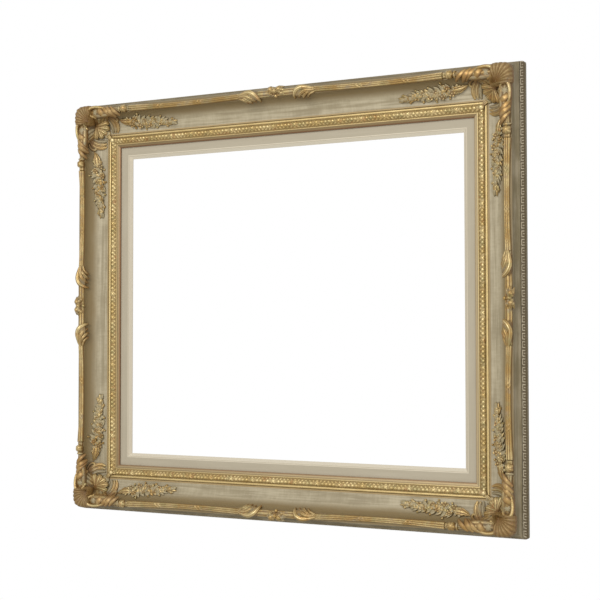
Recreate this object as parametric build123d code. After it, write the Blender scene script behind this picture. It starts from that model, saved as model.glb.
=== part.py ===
from build123d import *
import os

# Picture and its rebate
PICTURE_W = 600.0
PICTURE_H = 500.0
PICTURE_DEPTH = 5.0
PICTURE_PLAY = 1.0
LINER_COVER = 6.0

# Widths of the section, counted outward (u) from the sight edge
LINER_FACE = 19.2
LINER_UNDER = 7.3
SLIP_FACE = 21.8
SLIP_UNDER = 6.5
FIT_GAP = 0.3
FILLET_W = 2.0
COVE_RUN = 30.0
SEAT_W = 12.0
FLARE_W = 10.0
WALL_BAND_W = 18.0
BACK_BEVEL_W = 7.0
OUTER_ROUND = 4.0

# Heights of the section, counted forward (t) from the wall
RECESS = 6.0
SIGHT_EDGE = 1.0
BEVEL = 4.8
LINER_RISE = 1.2
LIP_NOSE = 2.2
LIP_RISE = 2.2
FLANGE_RISE = 2.0
COVE_LIFT = 5.5
COVE_RISE = 21.5
CREST_STEP = 1.0
BACK_BEVEL_H = 11.0
EDGE_BAND_H = 6.8
FRET_H = 13.2
FRET_LEAN = 2.8
FRET_THICK = 1.6
FRET_FILLET = 1.5

# Gilt slip and the running ornament in its channel
CHANNEL_START = 6.4
CHANNEL_W = 10.0
CHANNEL_DEPTH = 1.4
BEAD_R = 2.2
ORNAMENT_RISE = 3.6

# Reeded sweeps
SWEEP_HALF_W = 5.6
SWEEP_RISE = 6.8
SWEEP_DIP = 0.76
SWEEP_NECK = 0.84
SWEEP_GAP = 0.4

# Cast ornaments
CORNER_REACH = 97.0
CENTRE_REACH = 66.0
SPRAY_START = 35.0
SPRAY_LENGTH = 95.0
LEAF_ROOT = 4.0
KNOB_R = 7.0
KNOT_R = 4.2
BOSS_R = 8.0

# Hardware
NAIL_DEPTH = 8.0
BUTTON_REACH = 35.0
BUTTON_R = 7.0
BUTTON_TIP_R = 4.5
BUTTON_THICK = 1.4
BUTTON_LIFT = 0.15
BUTTON_SPREAD = 150.0
SCREW_R = 1.9
SCREW_HEAD_R = 3.6
SCREW_HEAD_H = 2.0
SCREW_LENGTH = 12.0
SCREW_SLOT = 0.9
RUN_CLEARANCE = 0.08
STRAP_W = 13.0
STRAP_LENGTH = 36.0
STRAP_THICK = 1.0
STRAP_HOLES = (9.0, 27.0)
RING_WIRE_R = 1.5
RING_HALF_W = 10.0
RING_LEG = 6.0
RING_BEND = 2.5
RING_LEAN = 3.0
RING_ROOM = 1.5
HANGER_HEIGHT = 150.0

SIGHT_W = PICTURE_W - 2 * LINER_COVER
SIGHT_H = PICTURE_H - 2 * LINER_COVER

U_LINER = LINER_FACE + LINER_UNDER
U_RAIL = LINER_FACE + SLIP_FACE
U_SLIP = U_RAIL + SLIP_UNDER
U_COVE = U_RAIL + FILLET_W
U_SEAT = U_COVE + COVE_RUN
U_CREST = U_SEAT + SEAT_W / 2
U_HOLLOW = U_SEAT + SEAT_W
U_EDGE = U_HOLLOW + FLARE_W
U_BAND = U_EDGE - BACK_BEVEL_W - WALL_BAND_W

T_LEDGE = RECESS + PICTURE_DEPTH
T_SIGHT = T_LEDGE + SIGHT_EDGE
T_BEVEL = T_SIGHT + BEVEL
T_LIP = T_BEVEL + LINER_RISE
T_FLANGE = T_LIP + FLANGE_RISE
T_COVE = T_LIP + COVE_LIFT
T_COVE_TOP = T_COVE + COVE_RISE
T_SEAT = T_COVE_TOP + CREST_STEP
T_FRET = BACK_BEVEL_H + EDGE_BAND_H
T_FRET_TOP = T_FRET + FRET_H

LOOP_R = RING_WIRE_R + RUN_CLEARANCE
LOOP_AXIS = LOOP_R + STRAP_THICK

FRONT = (0, -1, 0)
SIDES = {
    "top": (Plane((0, 0, SIGHT_H / 2), (1, 0, 0), FRONT), SIGHT_W / 2, ("left", "right")),
    "right": (Plane((SIGHT_W / 2, 0, 0), (0, 0, -1), FRONT), SIGHT_H / 2, ("upper", "lower")),
    "bottom": (Plane((0, 0, -SIGHT_H / 2), (-1, 0, 0), FRONT), SIGHT_W / 2, ("right", "left")),
    "left": (Plane((-SIGHT_W / 2, 0, 0), (0, 0, 1), FRONT), SIGHT_H / 2, ("lower", "upper")),
}
CORNERS = {
    "top_left": (-1, 1),
    "top_right": (1, 1),
    "bottom_left": (-1, -1),
    "bottom_right": (1, -1),
}


def liner_section():
    """Flat liner with a bevelled sight edge and the rebate that takes the picture."""
    rebate = LINER_COVER + PICTURE_PLAY
    outline = Polyline(
        (0, T_LEDGE),
        (0, T_SIGHT),
        (BEVEL, T_BEVEL),
        (U_LINER, T_LIP),
        (U_LINER, RECESS),
        (rebate, RECESS),
        (rebate, T_LEDGE),
        close=True,
    )
    return make_face(outline)


def slip_section():
    """Gilt slip: lip over the liner, ornament channel, bead, and a flange under the rail."""
    rebate = U_LINER + FIT_GAP
    start = LINER_FACE + CHANNEL_START
    stop = start + CHANNEL_W
    nose = T_LIP + LIP_NOSE
    land = nose + LIP_RISE
    floor = land - CHANNEL_DEPTH
    bead = U_RAIL - 2 * BEAD_R - FIT_GAP
    lip = Line((rebate, T_LIP), (LINER_FACE, T_LIP))
    front = Line(lip @ 1, (LINER_FACE, nose))
    hollow = SagittaArc(front @ 1, (start, land), LIP_RISE / 4)
    channel = Polyline(hollow @ 1, (start, floor), (stop, floor), (stop, land), (bead, land))
    crest = ThreePointArc(channel @ 1, (bead + BEAD_R, land + BEAD_R), (bead + 2 * BEAD_R, land))
    back = Polyline(
        crest @ 1,
        (bead + 2 * BEAD_R, T_FLANGE),
        (U_SLIP, T_FLANGE),
        (U_SLIP, RECESS),
        (rebate, RECESS),
        (rebate, T_LIP),
    )
    return make_face([lip, front, hollow, *channel.edges(), crest, *back.edges()])


def ornament_section():
    """Rounded strip of running ornament that fills the channel of the slip."""
    start = LINER_FACE + CHANNEL_START
    stop = start + CHANNEL_W
    land = T_LIP + LIP_NOSE + LIP_RISE
    floor = land - CHANNEL_DEPTH
    base = Polyline((start, land), (start, floor), (stop, floor), (stop, land))
    swell = ThreePointArc((stop, land), (start + CHANNEL_W / 2, floor + ORNAMENT_RISE), (start, land))
    return make_face([*base.edges(), swell])


def rail_section():
    """Main moulding: fillet, cove, seat of the sweep, outer hollow, fret land and back bevel."""
    rebate = U_SLIP + FIT_GAP
    fillet = T_COVE + FILLET_W / 4
    step = U_COVE - FILLET_W / 4
    fret_foot = U_EDGE - FRET_THICK
    fret_head = fret_foot - FRET_LEAN
    inner = Polyline(
        (rebate, T_FLANGE),
        (U_RAIL, T_FLANGE),
        (U_RAIL, fillet),
        (step, fillet),
        (step, T_COVE),
    )
    floor = Line(inner @ 1, (U_COVE, T_COVE))
    cove = EllipticalCenterArc((U_COVE, T_COVE_TOP), COVE_RUN, COVE_RISE, 270, arc_size=90)
    seat = Polyline((U_SEAT, T_COVE_TOP), (U_SEAT, T_SEAT), (U_HOLLOW, T_SEAT))
    hollow = SagittaArc((U_HOLLOW, T_SEAT), (fret_head, T_FRET_TOP + FRET_FILLET), -FLARE_W / 5)
    outer = Polyline(
        hollow @ 1,
        (fret_head + FRET_THICK / 2, T_FRET_TOP + FRET_FILLET),
        (fret_head + FRET_THICK / 2, T_FRET_TOP),
        (fret_head, T_FRET_TOP),
        (fret_foot, T_FRET),
        (U_EDGE, T_FRET),
        (U_EDGE, BACK_BEVEL_H),
        (U_EDGE - BACK_BEVEL_W, 0),
        (U_BAND, 0),
        (U_BAND, RECESS),
        (rebate, RECESS),
        (rebate, T_FLANGE),
    )
    return make_face([*inner.edges(), floor, cove, *seat.edges(), hollow, *outer.edges()])


def fret_section():
    """Flat fret strip leaning on its land at the outer edge."""
    foot = U_EDGE - FRET_THICK
    outline = Polyline(
        (foot, T_FRET),
        (foot - FRET_LEAN, T_FRET_TOP),
        (foot - FRET_LEAN + FRET_THICK, T_FRET_TOP),
        (U_EDGE, T_FRET),
        close=True,
    )
    return make_face(outline)


def mitred(section, half):
    """Carry a section (u, t) along a side of half length `half` and mitre both ends."""
    reach = half + U_EDGE + 1
    along = Plane((-reach, 0, 0), x_dir=(0, 1, 0), z_dir=(1, 0, 0))
    stick = extrude(along * section, amount=2 * reach)
    wedge = Polyline((1 - half, -1), (half - 1, -1), (reach, U_EDGE + 1), (-reach, U_EDGE + 1), close=True)
    return stick & Pos(0, 0, -1) * extrude(make_face(wedge), amount=T_SEAT + 2)


def sharp_corners():
    """What the rounding of the frame's four outer corners takes off."""
    wide = SIGHT_W + 2 * U_EDGE
    high = SIGHT_H + 2 * U_EDGE
    waste = Rectangle(wide + 2, high + 2) - RectangleRounded(wide, high, OUTER_ROUND)
    strips = [Rectangle(wide + 4, high - 2 * OUTER_ROUND), Rectangle(wide - 2 * OUTER_ROUND, high + 4)]
    corners = (waste - strips).faces()
    front = Plane((0, 1, 0), (1, 0, 0), FRONT)
    return [front * extrude(corner, amount=T_SEAT + 2) for corner in corners]


def sweep_section(s, scale_w, scale_h):
    """Three reeds side by side on the flat seat, at distance s along the side."""
    half = SWEEP_HALF_W * scale_w
    rise = SWEEP_RISE * scale_h
    neck = (0.36 * half, 0.76 * rise)
    right = ThreePointArc((half, 0), (0.88 * half, 0.62 * rise), neck)
    crown = ThreePointArc(neck, (0, rise), (-neck[0], neck[1]))
    left = ThreePointArc(crown @ 1, (-0.88 * half, 0.62 * rise), (-half, 0))
    base = Line(left @ 1, right @ 0)
    place = Plane((s, U_CREST, T_SEAT), x_dir=(0, 1, 0), z_dir=(1, 0, 0))
    return place * make_face([right, crown, left, base])


def sweep_rail(half):
    """Reeded sweep from the centre ornament to the corner cartouche, dipping on the way."""
    start = CENTRE_REACH + SWEEP_GAP
    stop = half + U_CREST - CORNER_REACH - SWEEP_GAP
    swell = (
        (0, SWEEP_NECK, SWEEP_NECK),
        (0.25, 0.96, 0.79),
        (0.5, 1, SWEEP_DIP),
        (0.75, 1, 0.84),
        (1, 1, 1),
    )
    sections = [sweep_section(start + along * (stop - start), wide, high) for along, wide, high in swell]
    return loft(sections, ruled=True)


def leaf(spine, widths, rises, up=(0, 0, 1)):
    """Carved leaf: a ridged section lofted along the points of its spine."""
    points = [Vector(*point) for point in spine]
    lift = Vector(*up)
    sections = []
    for index, point in enumerate(points):
        before = points[max(index - 1, 0)]
        after = points[min(index + 1, len(points) - 1)]
        tangent = (after - before).normalized()
        across = tangent.cross(lift).normalized()
        place = Plane(point, x_dir=across, z_dir=tangent)
        sign = 1 if place.y_dir.dot(lift) > 0 else -1
        half = widths[index]
        rise = sign * rises[index]
        outline = Polyline(
            (-half, 0),
            (-0.55 * half, 0.7 * rise),
            (0, rise),
            (0.55 * half, 0.7 * rise),
            (half, 0),
            (0, -sign * LEAF_ROOT),
            close=True,
        )
        sections.append(place * make_face(outline))
    return loft(sections, ruled=True)


def knob(radius):
    """Carved bud with eight sides, narrowing to both its ends."""
    rings = ((0.6, -0.8), (1, -0.3), (1, 0.3), (0.6, 0.8))
    sections = [Pos(0, 0, high * radius) * RegularPolygon(wide * radius, 8) for wide, high in rings]
    return loft(sections, ruled=True)


def rosette(centre, radius, facing=(0, 0, 1), petals=5):
    """Small flower: a petalled star that narrows to its face, with a raised eye."""
    def star(size, height):
        outline = Polyline(
            *[Vector(size if step % 2 else 0.66 * size, 0).rotate(Axis.Z, 180 * step / petals)
              for step in range(2 * petals)],
            close=True,
        )
        return Pos(0, 0, height) * make_face(outline)

    flower = loft([star(0.8 * radius, -radius), star(radius, 0.2 * radius)], ruled=True)
    crown = loft([star(radius, 0.2 * radius), star(0.5 * radius, 0.55 * radius)], ruled=True)
    eye = Pos(0, 0, 0.5 * radius) * knob(0.36 * radius)
    return Plane(centre, z_dir=facing) * (flower + crown + eye)


def fused(pieces):
    """One solid of all the overlapping pieces."""
    whole = pieces[0]
    for piece in pieces[1:]:
        whole = whole + piece
    return whole


def face_height(u):
    """Height of the moulding's face at u: the cove, level beyond its two ends."""
    across = min(max((u - U_COVE) / COVE_RUN, 0), 1)
    return T_COVE_TOP - COVE_RISE * (1 - across ** 2) ** 0.5


def on_cove(along, across, lift):
    """Point at a corner, its two plan places in cove widths, lifted off the moulding's face."""
    u_along = U_COVE + along * COVE_RUN
    u_across = U_COVE + across * COVE_RUN
    return (u_along, u_across, face_height(max(u_along, u_across)) + lift)


def on_crest(along, aside, lift, reach):
    """Point beside the crest of a side, `along` in parts of an ornament's reach from the corner."""
    return (U_CREST - along * reach, U_CREST + aside, T_SEAT + lift)


def corner_ornament():
    """Cartouche on one corner: shell, leaf wraps along both rails, palmette and tongue on the mitre."""
    heart = U_CREST - 4
    ray = leaf(
        [(heart + out, heart + out, T_SEAT + lift) for out, lift in ((-2, 6), (5, 9), (13, -1))],
        [4, 8, 4],
        [3, 5, 2],
    )
    shell = [ray.rotate(Axis((heart, heart, 0), (0, 0, 1)), angle) for angle in (-76, -38, 0, 38, 76)]

    def along_rail(places, widths, rises):
        return leaf([on_crest(*place, CORNER_REACH) for place in places], widths, rises)

    flames = [
        along_rail(
            [(place - 0.05, 8.5, -1), (place + 0.04, -2, 6), (place + 0.13, -11, -4)],
            [2.5, 5 * size, 2.5],
            [2, 4 * size, 2],
        )
        for place, size in ((0.5, 1.1), (0.61, 0.95), (0.72, 0.8))
    ]
    body = along_rail(
        [(0.1, 0, 0), (0.34, 0, 2), (0.57, 0, 1.5), (0.87, 0, 0)],
        [8, 10, 8.5, 5],
        [8, 8.5, 7.5, 5.5],
    )
    hook = along_rail(
        [(0.29, -10, 0), (0.22, -3, 6), (0.25, 5, 7), (0.4, 7.5, 5.5), (0.65, 4, 4.5)],
        [2.5, 3.4, 3.6, 3, 2],
        [2, 2.8, 3, 2.6, 2],
    )
    edge = along_rail([(0.17, -8, -2), (0.46, -12, -8), (0.7, -8, -4)], [5, 6, 3], [4, 5, 3])
    boss = Pos(*on_crest(0.34, -1, 5, CORNER_REACH)) * knob(BOSS_R)
    tip = Pos(U_CREST - CORNER_REACH + KNOB_R, U_CREST, T_SEAT + KNOB_R / 2) * knob(KNOB_R)
    wrap = flames + [body, hook, edge, boss, tip]

    def on_face(places, widths, rises):
        return leaf([on_cove(*place) for place in places], widths, rises)

    tongue = on_face(
        [(1.03, 1.03, -1), (0.73, 0.73, 2.6), (0.37, 0.37, 2), (0, 0, 1.5), (-0.17, -0.17, 3.5)],
        [7, 10, 11, 8, 4],
        [6, 6, 5, 4, 3],
    )
    volutes = [
        on_face(
            [(0.83, 0.97, 0.5), (0.37, 0.63, 4.6), (-0.1, 0.47, 1), (-0.5, 0.5, 0.6)],
            [6, 7, 7, 4],
            [5, 5, 5, 4],
        ),
        on_face(
            [(0.63, 0.83, 2.9), (0.23, 0.33, 2.3), (-0.23, 0.13, 1.3), (-0.57, 0.2, 1.1)],
            [5, 6, 5, 3],
            [4, 5, 4, 3],
        ),
    ]
    centre_petal = on_face([(0.68, 0.68, 6), (0.4, 0.4, 7), (0.06, 0.06, 4)], [3, 4.8, 3.4], [3, 4, 2.5])
    side_petals = [
        on_face([(0.66, 0.68, 6), (0.28, 0.47, 6.5), (-0.14, 0.26, 4)], [3, 4.8, 3.4], [3, 4, 2.5]),
        on_face([(0.64, 0.7, 6), (0.22, 0.6, 5.5), (-0.27, 0.55, 3.5)], [3, 4.6, 3.2], [3, 4, 2.5]),
    ]
    mitre = Plane((0, 0, 0), x_dir=(1, 1, 0), z_dir=(1, -1, 0))
    half = wrap + volutes + side_petals
    mirrored = [piece.mirror(mitre) for piece in half]
    return fused([tongue, centre_petal] + shell + half + mirrored)


def centre_ornament():
    """Stem, two leaf clasps that grip it, and a knot of rosettes, about the middle of a side."""
    stem = extrude(sweep_section(-CENTRE_REACH, SWEEP_NECK, SWEEP_NECK), 2 * CENTRE_REACH, dir=(1, 0, 0))

    def from_middle(along, aside, lift):
        return (along * CENTRE_REACH, U_CREST + aside, T_SEAT + lift)

    clasp = [
        leaf(
            [
                from_middle(place - 0.16, -13, -9),
                from_middle(place - 0.05, -6, 2),
                from_middle(place + 0.05, 1, 6),
                from_middle(place + 0.14, 8, -2),
            ],
            [4, 6, 6, 3],
            [3, 4, 4, 2],
            (0, -0.3, 1),
        )
        for place in (0.46, 0.62, 0.78)
    ]
    belly = leaf(
        [from_middle(*place) for place in ((0.33, 0, 1), (0.57, -1, 2), (0.79, -1, 2), (0.94, 0, 0))],
        [5, 8, 8, 5],
        [6, 9, 9, 6],
    )
    half = clasp + [belly, rosette(from_middle(0.115, 6, 4), 7.5, (0.3, 0.8, 0.7))]
    mirrored = [piece.mirror(Plane.YZ) for piece in half]
    knot = Pos(*from_middle(0, 3, 7)) * knob(KNOT_R)
    return fused([stem] + half + mirrored + [knot])


def flower_spray():
    """Spray of leaves and flowers on the cove, from its corner end at s = 0 toward -s."""
    def on_spray(along, across, lift):
        u = U_COVE + across * COVE_RUN
        return (-along * SPRAY_LENGTH, u, face_height(u) + lift)

    stem = leaf(
        [on_spray(0, 0.53, 0), on_spray(0.3, 0.4, 0), on_spray(0.6, 0.46, 0), on_spray(1, 0.4, 0)],
        [4, 4, 3, 1.5],
        [4, 4, 3, 2],
    )
    outer = [
        leaf(
            [on_spray(along, 0.43, 0), on_spray(along + 0.09, 0.63, 1), on_spray(along + 0.17, 0.73, 1)],
            [3, 5, 1.5],
            [3, 4, 2],
        )
        for along in (0.02, 0.22, 0.42, 0.6)
    ]
    inner = [
        leaf(
            [on_spray(along, 0.43, 0), on_spray(along + 0.09, 0.2, 1), on_spray(along + 0.17, 0.13, 1)],
            [3, 5, 1.5],
            [3, 4, 2],
        )
        for along in (0.08, 0.3, 0.5, 0.68)
    ]
    lean = (0, -0.32, 0.95)
    flowers = [
        rosette(on_spray(along, 0.46, 3), radius, lean)
        for along, radius in ((0.13, 8), (0.33, 7), (0.52, 6), (0.7, 5))
    ]
    return fused([stem] + outer + inner + flowers)


def v_nail(place, height):
    """Thin steel V driven across a mitre, its mouth facing outward."""
    outline = Polyline((-2.6, 0), (1.6, 4.2), (2.4, 3.4), (-1, 0), (2.4, -3.4), (1.6, -4.2), close=True)
    across = Plane((place, place, height), x_dir=(1, 1, 0), z_dir=(0, 0, 1))
    return across * extrude(make_face(outline), amount=NAIL_DEPTH)


def wood_screw(shank_gap):
    """Slotted pan head screw; its head starts shank_gap above the wood, wood at z = 0."""
    head = Pos(0, 0, shank_gap) * Cylinder(
        SCREW_HEAD_R, SCREW_HEAD_H, align=(Align.CENTER, Align.CENTER, Align.MIN)
    )
    head = fillet(head.edges().group_by(Axis.Z)[-1], SCREW_HEAD_H * 0.45)
    slot = Pos(0, 0, shank_gap + SCREW_HEAD_H) * Box(2 * SCREW_HEAD_R, SCREW_SLOT, SCREW_SLOT)
    shank = Pos(0, 0, shank_gap) * Cylinder(
        SCREW_R, SCREW_LENGTH + shank_gap, align=(Align.CENTER, Align.CENTER, Align.MAX)
    )
    return head - slot + shank


def screw_hole():
    """Pilot hole in the wood for a screw, with its mouth at z = 0."""
    return Cylinder(SCREW_R + FIT_GAP / 3, SCREW_LENGTH + 1, align=(Align.CENTER, Align.CENTER, Align.MAX))


def turn_button():
    """Flat tapered plate with a pivot hole, lying open on the wood along -x."""
    tip = Pos(BUTTON_TIP_R - BUTTON_REACH, 0) * Circle(BUTTON_TIP_R)
    plate = make_hull(Circle(BUTTON_R).edges() + tip.edges())
    body = Pos(0, 0, BUTTON_LIFT) * extrude(plate, amount=BUTTON_THICK)
    body = chamfer(body.faces().sort_by(Axis.Z)[-1].outer_wire().edges(), BUTTON_THICK / 4)
    return body - Cylinder(SCREW_R + RUN_CLEARANCE, 4 * BUTTON_THICK)


def hanger_strap():
    """Strap folded round the ring's bar; wood at z = 0, loop on top at y = 0."""
    plate = Pos(0, -STRAP_LENGTH / 2 + STRAP_W / 4) * Rectangle(STRAP_W, STRAP_LENGTH - STRAP_W / 2)
    plate += Pos(0, -STRAP_LENGTH + STRAP_W / 2) * Circle(STRAP_W / 2)
    body = extrude(plate, amount=STRAP_THICK)
    across = Plane((-STRAP_W / 2, 0, LOOP_AXIS), x_dir=(0, 1, 0), z_dir=(1, 0, 0))
    body += extrude(across * Circle(LOOP_R + STRAP_THICK), amount=STRAP_W)
    body -= extrude(across * Circle(LOOP_R), amount=STRAP_W)
    for hole in STRAP_HOLES:
        body -= Pos(0, -hole) * Cylinder(SCREW_R + FIT_GAP / 3, 4 * STRAP_THICK)
    return body


def hanger_ring():
    """D shaped wire ring through the strap's loop, hanging along -y."""
    bar = RING_HALF_W - RING_BEND
    leg = -RING_BEND - RING_LEG
    path = Wire([
        Line((-bar, 0), (bar, 0)),
        RadiusArc((bar, 0), (RING_HALF_W, -RING_BEND), RING_BEND),
        Line((RING_HALF_W, -RING_BEND), (RING_HALF_W, leg)),
        ThreePointArc((RING_HALF_W, leg), (0, leg - RING_HALF_W), (-RING_HALF_W, leg)),
        Line((-RING_HALF_W, leg), (-RING_HALF_W, -RING_BEND)),
        RadiusArc((-RING_HALF_W, -RING_BEND), (-bar, 0), RING_BEND),
    ])
    wire = sweep(Plane((0, 0, 0), z_dir=(1, 0, 0)) * Circle(RING_WIRE_R), path)
    return Pos(0, 0, LOOP_AXIS) * wire.rotate(Axis.X, -RING_LEAN)


def back_places():
    """Places on the recessed back: z points to the wall, and -y inward at a button, down at a ring."""
    pivot = (U_LINER + U_SLIP) / 2
    buttons = {}
    for side, spread in (("top", BUTTON_SPREAD), ("bottom", BUTTON_SPREAD), ("left", 0), ("right", 0)):
        plane, half, ends = SIDES[side]
        for sign, end in ((-1, ends[0]), (1, ends[1])):
            name = f"turn_button_{side}_{end}" if spread else f"turn_button_{side}"
            buttons[name] = plane * Location(Plane((sign * spread, pivot, RECESS), (-1, 0, 0), (0, 0, -1)))
    hangers = {}
    for side, sign in (("left", -1), ("right", 1)):
        across = sign * (SIGHT_W / 2 + U_BAND - RING_HALF_W - RING_WIRE_R - RING_ROOM)
        hangers[side] = Location(Plane((across, -RECESS, HANGER_HEIGHT), (-1, 0, 0), (0, 1, 0)))
    return buttons, hangers


def make_nodes():
    """All pieces in place, by name."""
    nodes = {}
    buttons, hangers = back_places()
    corner_frame = Plane((SIGHT_W / 2, 0, SIGHT_H / 2), (1, 0, 0), FRONT)
    corner_nails = [
        corner_frame * v_nail((LINER_COVER + U_LINER) / 2, RECESS),
        corner_frame * v_nail((U_LINER + U_SLIP) / 2, RECESS),
        corner_frame * v_nail((U_SLIP + U_BAND) / 2, RECESS),
        corner_frame * v_nail(U_BAND + WALL_BAND_W / 2, 0),
    ]
    nails = []
    for across, upward in CORNERS.values():
        for nail in corner_nails:
            placed = nail if across > 0 else nail.mirror(Plane.YZ)
            nails.append(placed if upward > 0 else placed.mirror(Plane.XY))
    nodes["mitre_v_nails"] = Compound(children=nails)

    button_top = BUTTON_LIFT + BUTTON_THICK + RUN_CLEARANCE
    button_screws = [place * wood_screw(button_top) for place in buttons.values()]
    nodes["turn_button_screws"] = Compound(children=button_screws)
    strap_places = [place * Pos(0, -hole) for place in hangers.values() for hole in STRAP_HOLES]
    strap_screws = [place * wood_screw(STRAP_THICK) for place in strap_places]
    nodes["hanger_screws"] = Compound(children=strap_screws)
    for name, place in buttons.items():
        nodes[name] = place * turn_button()
    for side, place in hangers.items():
        nodes[f"hanger_strap_{side}"] = place * hanger_strap()
        nodes[f"hanger_ring_{side}"] = place * hanger_ring()

    slip_cuts = nails + [place * screw_hole() for place in buttons.values()]
    rounding = sharp_corners()
    rail_cuts = nails + rounding + [place * screw_hole() for place in strap_places]
    for side, (plane, half, ends) in SIDES.items():
        nodes[f"{side}_rail"] = plane * mitred(rail_section(), half) - rail_cuts
        nodes[f"{side}_slip"] = plane * mitred(slip_section(), half) - slip_cuts
        nodes[f"{side}_liner"] = plane * mitred(liner_section(), half) - nails
        nodes[f"{side}_sight_ornament"] = plane * mitred(ornament_section(), half)
        nodes[f"{side}_fret"] = plane * mitred(fret_section(), half) - rounding

    bed = fused([mitred(part(), SIGHT_W / 2) for part in (rail_section, slip_section, ornament_section)])
    centre = centre_ornament() - bed
    spray = flower_spray() - bed
    for side, (plane, half, ends) in SIDES.items():
        nodes[f"centre_{side}"] = plane * centre
        sweep_piece = sweep_rail(half)
        spray_piece = Pos(half + U_COVE - SPRAY_START) * spray
        for end, piece in ((ends[1], sweep_piece), (ends[0], sweep_piece.mirror(Plane.YZ))):
            nodes[f"sweep_{side}_{end}"] = plane * piece
        for end, piece in ((ends[1], spray_piece), (ends[0], spray_piece.mirror(Plane.YZ))):
            nodes[f"spray_{side}_{end}"] = plane * piece

    corner = corner_frame * corner_ornament()
    for side in ("top", "right"):
        for kind in ("rail", "slip", "sight_ornament", "fret"):
            corner -= nodes[f"{side}_{kind}"]
    for name, (across, upward) in CORNERS.items():
        placed = corner if across > 0 else corner.mirror(Plane.YZ)
        nodes[f"corner_{name}"] = placed if upward > 0 else placed.mirror(Plane.XY)
    return nodes


os.makedirs("parts", exist_ok=True)
for node_name, node_shape in make_nodes().items():
    export_step(node_shape, f"parts/{node_name}.step")
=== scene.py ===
import math

import bmesh
import bpy
import numpy as np
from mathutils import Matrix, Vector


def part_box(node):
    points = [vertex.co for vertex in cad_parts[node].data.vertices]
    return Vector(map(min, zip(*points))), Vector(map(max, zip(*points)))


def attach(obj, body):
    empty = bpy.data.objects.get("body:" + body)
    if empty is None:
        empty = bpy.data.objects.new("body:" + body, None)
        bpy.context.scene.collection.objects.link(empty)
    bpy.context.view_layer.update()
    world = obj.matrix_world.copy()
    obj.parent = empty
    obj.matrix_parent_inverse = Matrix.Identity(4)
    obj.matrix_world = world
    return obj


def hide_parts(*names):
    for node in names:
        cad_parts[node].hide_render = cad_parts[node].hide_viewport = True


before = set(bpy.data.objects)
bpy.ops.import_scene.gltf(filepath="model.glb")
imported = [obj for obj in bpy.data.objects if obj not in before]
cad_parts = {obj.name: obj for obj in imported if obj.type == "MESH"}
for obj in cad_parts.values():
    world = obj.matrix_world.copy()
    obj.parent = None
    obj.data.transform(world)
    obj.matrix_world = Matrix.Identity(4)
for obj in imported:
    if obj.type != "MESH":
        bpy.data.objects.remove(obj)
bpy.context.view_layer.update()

# Places on a side of the frame, in millimetres: s along the side from its middle, u outwards from the
# sight edge, t forwards from the wall. At a corner, p and q are the u of its two sides.
MM = 0.001


def node_box(node):
    """Lowest and highest corner of a CAD node in millimetres."""
    low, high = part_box(node)
    return np.array(low) / MM, np.array(high) / MM


# Edges of the mouldings, from the boxes of the CAD nodes.
SIGHT_X = -node_box("left_liner")[1][0]
SIGHT_Z = node_box("top_liner")[0][2]
U_RAIL = node_box("top_rail")[0][2] - SIGHT_Z
U_EDGE = node_box("top_rail")[1][2] - SIGHT_Z
U_LIP = node_box("top_slip")[0][2] - SIGHT_Z
U_CREST = sum(node_box("sweep_top_left"))[2] / 2 - SIGHT_Z
U_ORNAMENT = sum(node_box("top_sight_ornament"))[2] / 2 - SIGHT_Z
ORNAMENT_HALF_W = np.ptp(node_box("top_sight_ornament"), axis=0)[2] / 2
T_ORNAMENT = -node_box("top_sight_ornament")[1][1]
T_SEAT = -node_box("top_rail")[0][1]
T_FRET = -node_box("top_fret")[1][1]
T_FRET_TOP = -node_box("top_fret")[0][1]

# Sizes within the mouldings and the ornaments.
FILLET_W = 2.0
COVE_RUN = 30.0
COVE_RISE = 21.5
CREST_STEP = 1.0
FRET_LEAN = 2.8
FRET_REPEAT = 12.05
ORNAMENT_REPEAT = 38.3
SWEEP_HALF_W = 5.6
SWEEP_RISE = 6.8
SWEEP_GAP = 0.4
CORNER_REACH = 97.0
CENTRE_REACH = 66.0
SPRAY_START = 8.0
SPRAY_LENGTH = 95.0
OUTER_ROUND = 4.0

U_COVE = U_RAIL + FILLET_W
U_SEAT = U_COVE + COVE_RUN
U_HOLLOW = 2 * U_CREST - U_SEAT
T_COVE_TOP = T_SEAT - CREST_STEP

# Half the length of the sight edge on each side, the way along a side to each of its ends, and the ways
# across and up to each corner.
HALVES = {"top": SIGHT_X, "right": SIGHT_Z, "bottom": SIGHT_X, "left": SIGHT_Z}
HANDS = {
    "top": {"left": -1, "right": 1},
    "right": {"upper": -1, "lower": 1},
    "bottom": {"right": -1, "left": 1},
    "left": {"lower": -1, "upper": 1},
}
CORNERS = {
    "top_left": (-1, 1),
    "top_right": (1, 1),
    "bottom_left": (-1, -1),
    "bottom_right": (1, -1),
}


def on_side(side):
    """Function that carries points (s, u, t) of a side to the whole frame."""
    def place(points):
        s, u, t = np.moveaxis(points, -1, 0)
        return {
            "top": np.stack([s, -t, SIGHT_Z + u], -1),
            "right": np.stack([SIGHT_X + u, -t, -s], -1),
            "bottom": np.stack([-s, -t, -SIGHT_Z - u], -1),
            "left": np.stack([-SIGHT_X - u, -t, s], -1),
        }[side]
    return place


def at_corner(across, upright):
    """Function that carries points (p, q, t) of a corner to the whole frame."""
    def place(points):
        p, q, t = np.moveaxis(points, -1, 0)
        return np.stack([across * (SIGHT_X + p), -t, upright * (SIGHT_Z + q)], -1)
    return place


def face_height(u):
    """Height of the moulding's face at u: a quarter ellipse, level beyond its two ends."""
    across = np.clip((u - U_COVE) / COVE_RUN, 0, 1)
    return T_COVE_TOP - COVE_RISE * np.sqrt(1 - across ** 2)


def face_slope(u):
    """Steepness of the cove at u, held short of the upright at its top."""
    across = np.clip((u - U_COVE) / COVE_RUN, 0, 0.94)
    return COVE_RISE / COVE_RUN * across / np.sqrt(1 - across ** 2)


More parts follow.
